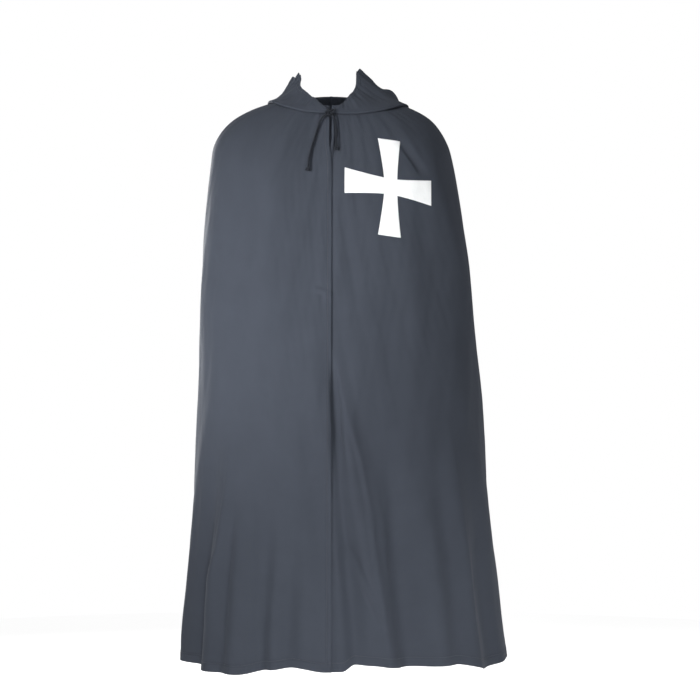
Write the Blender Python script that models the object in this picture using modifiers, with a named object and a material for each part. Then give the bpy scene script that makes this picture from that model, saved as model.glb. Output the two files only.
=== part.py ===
# Hooded calf-length cloak, worn closed at the neck with the hood thrown back.
# Metres, +Z up. The front faces -Y and the wearer's left is +X.
# The origin is the middle of the neck opening, level with the front of the neck seam.
# Angles run round the body in degrees from the front, positive to the wearer's left.

import math
from collections import namedtuple

import bmesh
import bpy
from mathutils import Vector

# Cloth, seams and cords
CLOTH_WALL = 0.0015
CROSS_WALL = 0.0010
SEAM_GAP = 0.0003
CORD_RADIUS = 0.0022

# Body rings from the neck seam to the hem: how far each reaches to either side,
# forwards and back, its height at the front, sides and back, and how square it is
Ring = namedtuple("Ring", "name left right front back z_front z_side z_back square")
RINGS = [
    Ring("neck seam", 0.085, 0.085, 0.072, 0.068, 0.000, 0.026, 0.036, 2.0),
    Ring("collar bone", 0.127, 0.120, 0.096, 0.092, -0.044, 0.016, 0.004, 2.0),
    Ring("shoulder top", 0.178, 0.170, 0.124, 0.120, -0.104, -0.002, -0.046, 2.0),
    Ring("shoulder end", 0.219, 0.213, 0.143, 0.141, -0.165, -0.028, -0.103, 2.05),
    Ring("shoulder turn", 0.247, 0.245, 0.157, 0.156, -0.225, -0.069, -0.163, 2.1),
    Ring("upper arm", 0.264, 0.257, 0.168, 0.168, -0.285, -0.126, -0.225, 2.15),
    Ring("elbow", 0.290, 0.273, 0.186, 0.188, -0.385, -0.280, -0.340, 2.2),
    Ring("forearm", 0.310, 0.282, 0.204, 0.210, -0.500, -0.480, -0.490, 2.2),
    Ring("hip", 0.323, 0.286, 0.220, 0.228, -0.626, -0.624, -0.625, 2.15),
    Ring("knee", 0.342, 0.296, 0.244, 0.254, -0.862, -0.862, -0.862, 2.1),
    Ring("calf", 0.359, 0.308, 0.262, 0.272, -1.050, -1.050, -1.050, 2.05),
    Ring("hem", 0.377, 0.316, 0.272, 0.284, -1.172, -1.172, -1.172, 2.0),
]
ROWS_BETWEEN_RINGS = [2, 2, 2, 2, 2, 2, 2, 3, 4, 3, 2]
COLUMN_STEP = 5.0

# Folds: where each runs at its top and at the hem, the heights where it starts,
# is full and has died away, its height (a trough is negative) and its half width
Fold = namedtuple("Fold", "name angle_top angle_hem z_start z_full z_gone height half_width")
THROUGH = None  # the fold runs out through the hem
FOLDS = [
    Fold("right arm hollow", -50, -46, -0.11, -0.24, -0.52, -0.007, 12),
    Fold("right arm ridge", -65, -56, -0.12, -0.28, -0.70, 0.004, 11),
    Fold("left arm hollow", 57, 52, -0.16, -0.30, -0.60, -0.006, 13),
    Fold("lap trough", 1, 12, -0.52, -0.80, THROUGH, -0.012, 6),
    Fold("lap ridge", 3, 24, -0.50, -0.95, THROUGH, 0.013, 8),
    Fold("left knee trough", 29, 35, -0.66, -1.00, THROUGH, -0.016, 8),
    Fold("left knee ridge", 43, 46, -0.62, -1.05, THROUGH, 0.014, 8),
    Fold("left side ridge", 57, 61, -0.64, -1.02, THROUGH, 0.012, 7),
    Fold("left side trough", 69, 72, -0.70, -1.05, THROUGH, -0.013, 8),
    Fold("right inner trough", -19, -19, -0.78, -1.03, THROUGH, -0.009, 8),
    Fold("right knee trough", -31, -31, -0.74, -1.02, THROUGH, -0.013, 7),
    Fold("right knee ridge", -42, -43, -0.66, -1.02, THROUGH, 0.012, 7),
    Fold("right ridge", -50, -56, -0.60, -1.00, THROUGH, 0.014, 7),
    Fold("right side trough", -60, -67, -0.64, -1.00, THROUGH, -0.017, 8),
    Fold("right side ridge", -76, -79, -0.72, -1.05, THROUGH, 0.010, 7),
    Fold("back left outer ridge", 102, 105, -0.60, -1.05, THROUGH, 0.015, 9),
    Fold("back left outer trough", 118, 121, -0.50, -1.00, THROUGH, -0.018, 9),
    Fold("back left ridge", 136, 138, -0.42, -1.00, THROUGH, 0.021, 10),
    Fold("back left trough", 152, 154, -0.46, -1.02, THROUGH, -0.017, 8),
    Fold("back middle ridge", 169, 168, -0.40, -0.98, THROUGH, 0.019, 9),
    Fold("back middle trough", -175, -174, -0.48, -1.02, THROUGH, -0.018, 9),
    Fold("back right ridge", -157, -158, -0.44, -1.00, THROUGH, 0.020, 9),
    Fold("back right trough", -141, -142, -0.50, -1.02, THROUGH, -0.018, 8),
    Fold("back right outer ridge", -124, -126, -0.46, -1.00, THROUGH, 0.020, 10),
    Fold("back right outer trough", -106, -108, -0.58, -1.04, THROUGH, -0.015, 9),
]

# Hem: how far it is lifted above the last ring at each angle
HemPoint = namedtuple("HemPoint", "name angle lift")
HEM = [
    HemPoint("back seam", -180, 0.000),
    HemPoint("right seam", -90, 0.000),
    HemPoint("right side", -72, -0.002),
    HemPoint("right knee trough", -58, -0.008),
    HemPoint("right knee ridge", -41, -0.008),
    HemPoint("right thigh", -27, 0.005),
    HemPoint("right inner trough", -16, 0.012),
    HemPoint("right edge", -2, 0.004),
    HemPoint("left edge", 5, 0.005),
    HemPoint("lap ridge", 11, 0.018),
    HemPoint("left inner", 18, 0.016),
    HemPoint("left knee", 30, 0.011),
    HemPoint("left calf", 52, 0.010),
    HemPoint("left side trough", 68, -0.008),
    HemPoint("left seam", 90, 0.000),
    HemPoint("back seam again", 180, 0.000),
]
HEM_FROM = -0.90  # height where the lift starts

# Front opening: the wearer's right front laps over the left one below the tie
OPENING_HALF_GAP = 0.0025  # at the neck, where the edges stand apart
LAP_OVER = 0.003  # how far the right front's edge passes the middle
LAP_UNDER = 0.012  # how far the left front's edge passes it, behind
LAP_DEPTH = 0.0055  # how far behind the left front's edge lies
LAP_BLEND = 0.050  # width over which the left front comes forward again
LAP_STARTS = -0.100
LAP_WHOLE = -0.210
SINK_STARTS = -0.040  # the left front's edge drops back before the edges pass
SINK_WHOLE = -0.125

# Hood lying on the shoulders and back: for each direction, how far down the body
# its fold lies, the radius of that fold, where the face edge is and how far the
# outer layer bows out
HoodStation = namedtuple("HoodStation", "name angle drop turn edge_radius edge_z bow")
HOOD_LEFT = [
    HoodStation("tie", 4, 0.018, 0.0024, 0.0860, -0.0080, 0.000),
    HoodStation("throat", 24, 0.027, 0.0024, 0.0700, 0.0105, 0.001),
    HoodStation("neck front", 44, 0.043, 0.0022, 0.0635, 0.0305, 0.000),
    HoodStation("neck side", 67, 0.065, 0.0019, 0.0575, 0.0500, -0.002),
    HoodStation("peak", 92, 0.081, 0.0018, 0.0550, 0.0865, -0.007),
    HoodStation("behind peak", 112, 0.095, 0.0030, 0.0745, 0.0690, 0.006),
    HoodStation("shoulder", 133, 0.124, 0.0085, 0.1120, 0.0470, 0.010),
    HoodStation("back side", 156, 0.166, 0.0125, 0.1260, 0.0300, 0.016),
    HoodStation("back seam", 180, 0.196, 0.0140, 0.1320, 0.0220, 0.020),
]
HOOD_RIGHT = [
    HoodStation("tie", 4, 0.018, 0.0024, 0.0860, -0.0080, 0.000),
    HoodStation("throat", 25, 0.024, 0.0024, 0.0710, 0.0145, 0.001),
    HoodStation("neck front", 46, 0.033, 0.0022, 0.0690, 0.0310, -0.001),
    HoodStation("neck side", 69, 0.042, 0.0019, 0.0685, 0.0480, -0.004),
    HoodStation("peak", 94, 0.050, 0.0018, 0.0655, 0.0785, -0.008),
    HoodStation("behind peak", 114, 0.066, 0.0030, 0.0915, 0.0715, -0.002),
    HoodStation("shoulder", 134, 0.108, 0.0085, 0.1120, 0.0480, 0.006),
    HoodStation("back side", 156, 0.162, 0.0125, 0.1240, 0.0290, 0.015),
    HoodStation("back seam", 180, 0.196, 0.0140, 0.1320, 0.0220, 0.020),
]
HOOD_COLUMNS_PER_STATION = 3
HOOD_UNDER_ROWS = 9
HOOD_TURN_ROWS = 4
HOOD_OUTER_ROWS = 7
HOOD_LIFT = 0.0016  # clearance under the hood, away from the neck seam

# Cross sewn on the wearer's left front: its middle and arms as the front view
# shows them, with the slope that the hang of the cloth gives its level arms and
# how far its upright arms lean to one side at their tips
CROSS_X = 0.1256
CROSS_Z = -0.1760
CROSS_SLOPE = -math.tan(math.radians(8.0))
CROSS_LIFT = 0.0006
CROSS_WAIST_X = 0.0140
CROSS_WAIST_Z = 0.0172
CrossArm = namedtuple("CrossArm", "name x z length tip_half_width tip_lean")
CROSS_ARMS = [
    CrossArm("up", 0, 1, 0.1000, 0.0232, -0.0030),
    CrossArm("wearer's left", 1, 0, 0.0850, 0.0266, 0),
    CrossArm("down", 0, -1, 0.1045, 0.0236, -0.0030),
    CrossArm("wearer's right", -1, 0, 0.0955, 0.0270, 0),
]
CROSS_CELLS_ALONG = 5
CROSS_CELLS_ACROSS = 3

# Tie at the throat: a knot and two hanging tails, each given by angle, distance
# down from the neck seam and distance off the cloth
KNOT_SIZE = Vector((0.0095, 0.0060, 0.0065))  # half sizes
KNOT_AT = Vector((0.0, -0.0929, -0.0151))
TAIL_KNOT_RADIUS = 0.0048
TailPoint = namedtuple("TailPoint", "name angle drop off")
TAIL_RIGHT = [
    TailPoint("from the knot", -4.5, 0.0290, 0.0081),
    TailPoint("over the edge", -8.5, 0.0322, 0.0088),
    TailPoint("falling", -12.0, 0.0395, 0.0072),
    TailPoint("turning down", -14.2, 0.0510, 0.0042),
    TailPoint("on the cloth", -15.6, 0.0660, 0.0029),
    TailPoint("first bend", -16.8, 0.0860, 0.0028),
    TailPoint("second bend", -18.2, 0.1100, 0.0028),
    TailPoint("before the end", -19.0, 0.1340, 0.0036),
    TailPoint("end", -19.0, 0.1560, 0.0053),
]
TAIL_LEFT = [
    TailPoint("from the knot", 2.7, 0.0290, 0.0078),
    TailPoint("falling", 5.4, 0.0365, 0.0068),
    TailPoint("turning down", 6.4, 0.0480, 0.0045),
    TailPoint("on the cloth", 6.6, 0.0630, 0.0031),
    TailPoint("before the end", 6.4, 0.0825, 0.0036),
    TailPoint("end", 6.6, 0.1040, 0.0053),
]
TAIL_POINTS_PER_STEP = 4

# Colours as they show: black polyester and white felt
CLOTH_COLOUR = (0.055, 0.059, 0.074, 1.0)
CROSS_COLOUR = (0.90, 0.91, 0.92, 1.0)
CORD_COLOUR = (0.030, 0.032, 0.040, 1.0)


def smooth(low, high, value):
    """0 below low, 1 above high and a soft step between."""
    share = min(1.0, max(0.0, (value - low) / (high - low)))
    return share * share * (3 - 2 * share)


def row_at(rows, place):
    """A table read between its rows, on a smooth curve through every number."""
    last = len(rows) - 1
    first = min(int(place), last - 1)
    share = place - first
    before, here = rows[max(first - 1, 0)], rows[first]
    there, after = rows[first + 1], rows[min(first + 2, last)]
    read = []
    for a, b, c, d in zip(before[1:], here[1:], there[1:], after[1:]):
        rise = (c - a) / 2
        fall = (d - b) / 2
        bend = 3 * (c - b) - 2 * rise - fall
        twist = 2 * (b - c) + rise + fall
        read.append(b + share * (rise + share * (bend + share * twist)))
    return here._replace(**dict(zip(here._fields[1:], read)))


def fold_height(angle, z):
    """How far all the folds together move the cloth out."""
    hem_z = RINGS[-1].z_front
    total = 0.0
    for fold in FOLDS:
        share = smooth(-fold.z_start, -fold.z_full, -z)
        if fold.z_gone is not None:
            share *= 1 - smooth(-fold.z_full, -fold.z_gone, -z)
        if share == 0:
            continue
        run = (fold.z_start - z) / (fold.z_start - hem_z)
        middle = fold.angle_top + (fold.angle_hem - fold.angle_top) * min(max(run, 0), 1)
        away = abs((angle - middle + 180) % 360 - 180) / (2 * fold.half_width)
        if away < 0.5:
            total += fold.height * share * math.cos(math.pi * away) ** 2
    return total


def hem_lift(angle, z):
    """How far the uneven hem raises the cloth near it."""
    share = smooth(-HEM_FROM, -RINGS[-1].z_front, -z)
    if share == 0:
        return 0.0
    angle = (angle + 180) % 360 - 180
    for here, there in zip(HEM, HEM[1:]):
        if here.angle <= angle <= there.angle:
            between = smooth(here.angle, there.angle, angle)
            return share * (here.lift + (there.lift - here.lift) * between)
    return 0.0


def body_point(angle, place):
    """A point of the cloak's outer surface, at an angle round it and a place in RINGS."""
    ring = row_at(RINGS, place)
    across, ahead = math.sin(math.radians(angle)), math.cos(math.radians(angle))
    side = ring.left if across > 0 else ring.right
    depth = ring.front if ahead > 0 else ring.back
    power = ring.square
    radius = (abs(across / side) ** power + abs(ahead / depth) ** power) ** (-1 / power)
    end_z = ring.z_front if ahead > 0 else ring.z_back
    z = end_z * ahead**2 + ring.z_side * across**2
    radius += fold_height(angle, z)
    return Vector((radius * across, -radius * ahead, z + hem_lift(angle, z)))


def body_normal(angle, place):
    """The outward direction of the cloak's surface there."""
    step = 0.02
    low, high = max(place - step, 0), min(place + step, len(RINGS) - 1)
    round_it = body_point(angle + 0.5, place) - body_point(angle - 0.5, place)
    down_it = body_point(angle, high) - body_point(angle, low)
    return down_it.cross(round_it).normalized()


def place_below_neck(angle, drop):
    """The place in RINGS that lies this far down the cloth from the neck seam."""
    step = 0.05
    place, last = 0.0, body_point(angle, 0.0)
    while drop > 0:
        point = body_point(angle, place + step)
        length = (point - last).length
        if length >= drop:
            return place + step * drop / length
        drop -= length
        place, last = place + step, point
    return place


def front_place(x, z):
    """(angle, place) of the point of the front that the front view shows at x and z."""
    angle = math.degrees(math.atan2(x, RINGS[4].front))
    for _ in range(30):
        low, high = 0.0, len(RINGS) - 1.0
        for _ in range(30):
            place = (low + high) / 2
            if body_point(angle, place).z > z:
                low = place
            else:
                high = place
        radius = body_point(angle, place).xy.length
        angle = (angle + math.degrees(math.asin(min(x / radius, 0.999)))) / 2
    return angle, place


def cloth_material(name, colour, roughness):
    material = bpy.data.materials.new(name)
    material.use_nodes = True
    shader = material.node_tree.nodes["Principled BSDF"]
    shader.inputs["Base Color"].default_value = colour
    shader.inputs["Roughness"].default_value = roughness
    shader.inputs["Metallic"].default_value = 0.0
    return material


def add_object(name, data, collection, material):
    made = bpy.data.objects.new(name, data)
    made.data.materials.append(material)
    collection.objects.link(made)
    return made


def sheet_object(name, rows, wall, offset, collection, material):
    """A wall of cloth on a grid of points. Its rows run down, its columns to the left."""
    mesh = bpy.data.meshes.new(name)
    sheet = bmesh.new()
    points = [[sheet.verts.new(point) for point in row] for row in rows]
    for upper, lower in zip(points, points[1:]):
        for k in range(len(upper) - 1):
            sheet.faces.new((upper[k], lower[k], lower[k + 1], upper[k + 1]))
    sheet.normal_update()
    sheet.to_mesh(mesh)
    sheet.free()
    mesh.shade_smooth()
    made = add_object(name, mesh, collection, material)
    shell = made.modifiers.new("cloth wall", "SOLIDIFY")
    shell.thickness = wall
    shell.offset = offset
    return made


def body_places():
    """Places in RINGS of the rows of points, close together over the shoulders."""
    places = [0.0]
    for ring, count in enumerate(ROWS_BETWEEN_RINGS):
        places += [ring + (k + 1) / count for k in range(count)]
    return places


def edge_angle(place, left):
    """The angle of a front's free edge: apart at the neck, lapped lower down."""
    at_middle = body_point(0.0, place)
    lapped = smooth(-LAP_STARTS, -LAP_WHOLE, -at_middle.z)
    open_x = OPENING_HALF_GAP if left else -OPENING_HALF_GAP
    lapped_x = -LAP_UNDER if left else LAP_OVER
    x = open_x + (lapped_x - open_x) * lapped
    return math.degrees(math.asin(x / at_middle.xy.length))


def left_front_point(angle, place):
    """The left front, which passes behind the right one at the opening."""
    point = body_point(angle, place)
    sunk = smooth(-SINK_STARTS, -SINK_WHOLE, -point.z)
    edge = edge_angle(place, True)
    from_edge = math.radians(angle - edge) * point.xy.length
    behind = LAP_DEPTH * sunk * (1 - smooth(0.3 * LAP_BLEND, LAP_BLEND, from_edge))
    outward = Vector((point.x, point.y, 0)).normalized()
    return point - outward * behind


def seam_angle(place, side, towards_front):
    """The angle of a panel's edge at the side seam, half a seam gap from it."""
    radius = body_point(90.0 * side, place).xy.length
    half_gap = math.degrees(SEAM_GAP / 2 / radius)
    return side * (90.0 - half_gap if towards_front else 90.0 + half_gap)


def panel_rows(first_angle, last_angle, columns, surface):
    """Rows of points between two edges whose angles are functions of the place."""
    rows = []
    for place in body_places():
        start, end = first_angle(place), last_angle(place)
        angles = [start + (end - start) * k / columns for k in range(columns + 1)]
        rows.append([surface(angle, place) for angle in angles])
    return rows


def add_body(collection, material):
    columns = round(90 / COLUMN_STEP)
    fronts_and_back = {
        "front_right": (
            lambda place: seam_angle(place, -1, True),
            lambda place: edge_angle(place, False),
            columns,
            body_point,
        ),
        "front_left": (
            lambda place: edge_angle(place, True),
            lambda place: seam_angle(place, 1, True),
            columns,
            left_front_point,
        ),
        "back": (
            lambda place: seam_angle(place, 1, False),
            lambda place: 360 + seam_angle(place, -1, False),
            2 * columns,
            body_point,
        ),
    }
    for name, (first, last, count, surface) in fronts_and_back.items():
        rows = panel_rows(first, last, count, surface)
        sheet_object(name, rows, CLOTH_WALL, -1.0, collection, material)


def curve_point(ends, share):
    """A point on the cubic curve with these four control points."""
    rest = 1 - share
    weights = (rest**3, 3 * rest**2 * share, 3 * rest * share**2, share**3)
    return sum((point * weight for point, weight in zip(ends, weights)), Vector())


def hood_section(station, angle):
    """The hood in one direction: down the body, round its fold and up to the face edge."""
    seat = SEAM_GAP + CLOTH_WALL / 2
    section = []
    for k in range(HOOD_UNDER_ROWS):
        share = k / (HOOD_UNDER_ROWS - 1)
        place = place_below_neck(angle, station.drop * share)
        lift = seat + HOOD_LIFT * smooth(0, 0.3, share)
        section.append(body_point(angle, place) + body_normal(angle, place) * lift)
    outward = body_normal(angle, place)
    round_it = Vector((math.cos(math.radians(angle)), math.sin(math.radians(angle)), 0))
    down = round_it.cross(outward).normalized()
    middle = section[-1] + outward * station.turn
    for k in range(HOOD_TURN_ROWS):
        turned = math.pi * (k + 1) / HOOD_TURN_ROWS
        section.append(middle + station.turn * (math.sin(turned) * down - math.cos(turned) * outward))
    edge = Vector((
        station.edge_radius * math.sin(math.radians(angle)),
        -station.edge_radius * math.cos(math.radians(angle)),
        station.edge_z,
    ))
    start = section[-1]
    chord = edge - start
    bow = outward * station.bow * 4 / 3
    ends = (start, start + chord / 3 + bow, start + chord * 2 / 3 + bow, edge)
    section += [curve_point(ends, (k + 1) / HOOD_OUTER_ROWS) for k in range(HOOD_OUTER_ROWS)]
    return section


def add_hood(collection, material):
    for name, stations, side in (("hood_left", HOOD_LEFT, 1), ("hood_right", HOOD_RIGHT, -1)):
        count = HOOD_COLUMNS_PER_STATION * (len(stations) - 1)
        seam = math.degrees(SEAM_GAP / stations[-1].edge_radius)
        columns = []
        for k in range(count + 1):
            station = row_at(stations, k / HOOD_COLUMNS_PER_STATION)
            angle = side * min(station.angle, 180 - seam)
            columns.append(hood_section(station, angle))
        if side < 0:
            columns.reverse()
        rows = [list(row) for row in zip(*columns)]
        sheet_object(name, rows, CLOTH_WALL, 0.0, collection, material)


def cross_point(x, z):
    """A point of the cross's outer face, given from its middle in the front view."""
    angle, place = front_place(CROSS_X + x, CROSS_Z + z + CROSS_SLOPE * x)
    off = body_normal(angle, place) * (CROSS_LIFT + CROSS_WALL)
    return left_front_point(angle, place) + off


def add_cross(collection, material):
    """The cross: a middle square of cells with a flared strip of cells on each side."""
    mesh = bpy.data.meshes.new("cross")
    cross = bmesh.new()
    corners = {}

    def corner(x, z):
        key = (round(x, 6), round(z, 6))
        if key not in corners:
            corners[key] = cross.verts.new(cross_point(x, z))
        return corners[key]

    def add_cells(point_at, along, across):
        for i in range(along):
            for k in range(across):
                places = ((i, k), (i + 1, k), (i + 1, k + 1), (i, k + 1))
                cross.faces.new([corner(*point_at(u / along, v / across)) for u, v in places])

    def middle_point(u, v):
        return CROSS_WAIST_X * (2 * u - 1), CROSS_WAIST_Z * (2 * v - 1)

    add_cells(middle_point, CROSS_CELLS_ACROSS, CROSS_CELLS_ACROSS)
    for arm in CROSS_ARMS:
        root, waist = (CROSS_WAIST_Z, CROSS_WAIST_X) if arm.z else (CROSS_WAIST_X, CROSS_WAIST_Z)

        def arm_point(u, v):
            out = root + (arm.length - root) * u
            wide = (waist + (arm.tip_half_width - waist) * u) * (1 - 2 * v)
            return arm.x * out + arm.z * wide + arm.tip_lean * u, arm.z * out - arm.x * wide

        add_cells(arm_point, CROSS_CELLS_ALONG, CROSS_CELLS_ACROSS)
    bmesh.ops.recalc_face_normals(cross, faces=cross.faces)
    if sum((face.normal.y * face.calc_area() for face in cross.faces)) > 0:
        bmesh.ops.reverse_faces(cross, faces=cross.faces)
    cross.to_mesh(mesh)
    cross.free()
    made = add_object("cross", mesh, collection, material)
    shell = made.modifiers.new("felt wall", "SOLIDIFY")
    shell.thickness = CROSS_WALL
    shell.offset = -1.0
    return made


def knot_object(name, middle, half_sizes, collection, material):
    mesh = bpy.data.meshes.new(name)
    knot = bmesh.new()
    bmesh.ops.create_uvsphere(knot, u_segments=12, v_segments=8, radius=1.0)
    bmesh.ops.scale(knot, vec=half_sizes, verts=knot.verts)
    knot.to_mesh(mesh)
    knot.free()
    mesh.shade_smooth()
    made = add_object(name, mesh, collection, material)
    made.location = middle
    return made


def tail_path(points, surface):
    """A tail's middle line, smoothly through its points."""
    path = []
    for k in range((len(points) - 1) * TAIL_POINTS_PER_STEP + 1):
        point = row_at(points, k / TAIL_POINTS_PER_STEP)
        place = place_below_neck(point.angle, point.drop)
        off = body_normal(point.angle, place) * point.off
        path.append(surface(point.angle, place) + off)
    return path


def add_ties(collection, material):
    knot_object("tie_knot", KNOT_AT, KNOT_SIZE, collection, material)
    tails = (("right", TAIL_RIGHT, body_point), ("left", TAIL_LEFT, left_front_point))
    for side, points, surface in tails:
        path = tail_path(points, surface)
        curve = bpy.data.curves.new(f"tie_tail_{side}", "CURVE")
        curve.dimensions = "3D"
        curve.bevel_depth = CORD_RADIUS
        curve.bevel_resolution = 2
        curve.use_fill_caps = True
        spline = curve.splines.new("POLY")
        spline.points.add(len(path) - 1)
        for place, point in zip(spline.points, path):
            place.co = (*point, 1.0)
        add_object(f"tie_tail_{side}", curve, collection, material)
        onward = (path[-1] - path[-2]).normalized()
        middle = path[-1] + onward * (TAIL_KNOT_RADIUS + SEAM_GAP)
        half_sizes = Vector((1, 1, 1)) * TAIL_KNOT_RADIUS
        knot_object(f"tie_end_{side}", middle, half_sizes, collection, material)


def main():
    for old in list(bpy.data.objects):
        bpy.data.objects.remove(old)
    collection = bpy.data.collections.new("templar_cloak")
    bpy.context.scene.collection.children.link(collection)
    cloth = cloth_material("black polyester", CLOTH_COLOUR, 0.75)
    felt = cloth_material("white felt", CROSS_COLOUR, 0.9)
    cord = cloth_material("black cord", CORD_COLOUR, 0.8)
    add_body(collection, cloth)
    add_hood(collection, cloth)
    add_cross(collection, felt)
    add_ties(collection, cord)


main()
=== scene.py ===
import math
from collections import namedtuple

import bpy
import numpy as np
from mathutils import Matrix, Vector
from mathutils.bvhtree import BVHTree


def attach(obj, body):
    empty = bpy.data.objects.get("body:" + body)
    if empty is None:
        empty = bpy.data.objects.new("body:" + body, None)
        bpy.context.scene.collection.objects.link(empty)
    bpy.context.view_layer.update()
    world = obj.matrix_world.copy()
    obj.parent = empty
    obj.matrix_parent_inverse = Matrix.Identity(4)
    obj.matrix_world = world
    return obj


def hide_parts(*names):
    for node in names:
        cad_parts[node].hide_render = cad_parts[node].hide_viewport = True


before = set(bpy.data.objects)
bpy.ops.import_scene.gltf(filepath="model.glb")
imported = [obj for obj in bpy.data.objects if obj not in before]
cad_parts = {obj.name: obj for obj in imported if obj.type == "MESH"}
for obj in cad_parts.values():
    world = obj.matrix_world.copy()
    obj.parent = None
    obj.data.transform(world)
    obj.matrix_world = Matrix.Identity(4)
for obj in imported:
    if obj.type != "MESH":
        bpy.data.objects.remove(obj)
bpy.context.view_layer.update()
print("stage: frame loaded")

# Sizes in metres. The front faces -Y, the cloak's own left is +X, angles run from the front
seamGap, seamLap = 0.0003, 0.0002
shellWall = 0.0012
solidHalfWall = 0.00075
cordRadius = 0.0022

ringRow = namedtuple("ringRow", "name left right front back zFront zSide zBack square")
rings = [
    ringRow("neck seam", 0.085, 0.085, 0.072, 0.068, 0.000, 0.026, 0.036, 2.0),
    ringRow("collar bone", 0.127, 0.120, 0.096, 0.092, -0.044, 0.016, 0.004, 2.0),
    ringRow("shoulder top", 0.178, 0.170, 0.124, 0.120, -0.104, -0.002, -0.046, 2.0),
    ringRow("shoulder end", 0.219, 0.213, 0.143, 0.141, -0.165, -0.028, -0.103, 2.05),
    ringRow("shoulder turn", 0.247, 0.245, 0.157, 0.156, -0.225, -0.069, -0.163, 2.1),
    ringRow("upper arm", 0.264, 0.257, 0.168, 0.168, -0.285, -0.126, -0.225, 2.15),
    ringRow("elbow", 0.290, 0.273, 0.186, 0.188, -0.385, -0.280, -0.340, 2.2),
    ringRow("forearm", 0.310, 0.282, 0.204, 0.210, -0.500, -0.480, -0.490, 2.2),
    ringRow("hip", 0.323, 0.286, 0.220, 0.228, -0.626, -0.624, -0.625, 2.15),
    ringRow("knee", 0.342, 0.296, 0.244, 0.254, -0.862, -0.862, -0.862, 2.1),
    ringRow("calf", 0.359, 0.308, 0.262, 0.272, -1.050, -1.050, -1.050, 2.05),
    ringRow("hem", 0.377, 0.316, 0.272, 0.284, -1.172, -1.172, -1.172, 2.0),
]
lastRing = len(rings) - 1
upperRing = 7  # the hood and the tie lie above this ring
hemZ = rings[-1].zFront
upperSteps, wholeSteps = 500, 3000  # points that measure the way down to either

# Main folds, as in the solids: a trough has a negative height, zGone None runs through the hem
foldRow = namedtuple("foldRow", "name angleTop angleHem zStart zFull zGone height halfWidth")
folds = [
    foldRow("right arm hollow", -50, -46, -0.11, -0.24, -0.52, -0.007, 12),
    foldRow("right arm ridge", -65, -56, -0.12, -0.28, -0.70, 0.004, 11),
    foldRow("left arm hollow", 57, 52, -0.16, -0.30, -0.60, -0.006, 13),
    foldRow("lap trough", 1, 12, -0.52, -0.80, None, -0.012, 6),
    foldRow("lap ridge", 3, 24, -0.50, -0.95, None, 0.013, 8),
    foldRow("left knee trough", 29, 35, -0.66, -1.00, None, -0.016, 8),
    foldRow("left knee ridge", 43, 46, -0.62, -1.05, None, 0.014, 8),
    foldRow("left side ridge", 57, 61, -0.64, -1.02, None, 0.012, 7),
    foldRow("left side trough", 69, 72, -0.70, -1.05, None, -0.013, 8),
    foldRow("right inner trough", -19, -19, -0.78, -1.03, None, -0.009, 8),
    foldRow("right knee trough", -31, -31, -0.74, -1.02, None, -0.013, 7),
    foldRow("right knee ridge", -42, -43, -0.66, -1.02, None, 0.012, 7),
    foldRow("right ridge", -50, -56, -0.60, -1.00, None, 0.014, 7),
    foldRow("right side trough", -60, -67, -0.64, -1.00, None, -0.017, 8),
    foldRow("right side ridge", -76, -79, -0.72, -1.05, None, 0.010, 7),
    foldRow("back left outer ridge", 102, 105, -0.60, -1.05, None, 0.015, 9),
    foldRow("back left outer trough", 118, 121, -0.50, -1.00, None, -0.018, 9),
    foldRow("back left ridge", 136, 138, -0.42, -1.00, None, 0.021, 10),
    foldRow("back left trough", 152, 154, -0.46, -1.02, None, -0.017, 8),
    foldRow("back middle ridge", 169, 168, -0.40, -0.98, None, 0.019, 9),
    foldRow("back middle trough", -175, -174, -0.48, -1.02, None, -0.018, 9),
    foldRow("back right ridge", -157, -158, -0.44, -1.00, None, 0.020, 9),
    foldRow("back right trough", -141, -142, -0.50, -1.02, None, -0.018, 8),
    foldRow("back right outer ridge", -124, -126, -0.46, -1.00, None, 0.020, 10),
    foldRow("back right outer trough", -106, -108, -0.58, -1.04, None, -0.015, 9),
]

# Lift of the uneven hem at each angle
hemRow = namedtuple("hemRow", "angle lift")
hemLifts = [
    hemRow(-180, 0.000),
    hemRow(-90, 0.000),
    hemRow(-72, -0.002),
    hemRow(-58, -0.008),
    hemRow(-41, -0.008),
    hemRow(-27, 0.005),
    hemRow(-16, 0.012),
    hemRow(-2, 0.004),
    hemRow(5, 0.005),
    hemRow(11, 0.018),
    hemRow(18, 0.016),
    hemRow(30, 0.011),
    hemRow(52, 0.010),
    hemRow(68, -0.008),
    hemRow(90, 0.000),
    hemRow(180, 0.000),
]
hemFrom = -0.90


def smoothStep(low, high, value):
    share = np.clip((value - low) / (high - low), 0, 1)
    return share * share * (3 - 2 * share)


def fallOff(share):
    # whole at 0, gone at 1
    share = np.clip(share, 0, 1)
    return (1 - share) ** 2 * (1 + 2 * share)


def bell(distance, width):
    return np.exp(-((distance / width) ** 2))


def wrapped(angle):
    return (angle + 180) % 360 - 180


def tableAt(rows, place):
    # a smooth curve through each column of numbers, read at any places
    numbers = np.array([row[1:] for row in rows], dtype=float)
    place = np.asarray(place, dtype=float)
    last = len(rows) - 1
    first = np.clip(place.astype(int), 0, last - 1)
    share = (place - first)[..., None]
    before, here = numbers[np.maximum(first - 1, 0)], numbers[first]
    after, beyond = numbers[first + 1], numbers[np.minimum(first + 2, last)]
    rise, fall = (after - before) / 2, (beyond - here) / 2
    square = 3 * (after - here) - 2 * rise - fall
    cube = 2 * (here - after) + rise + fall
    read = here + share * (rise + share * (square + share * cube))
    return {field: read[..., k] for k, field in enumerate(rows[0]._fields[1:])}


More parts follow.
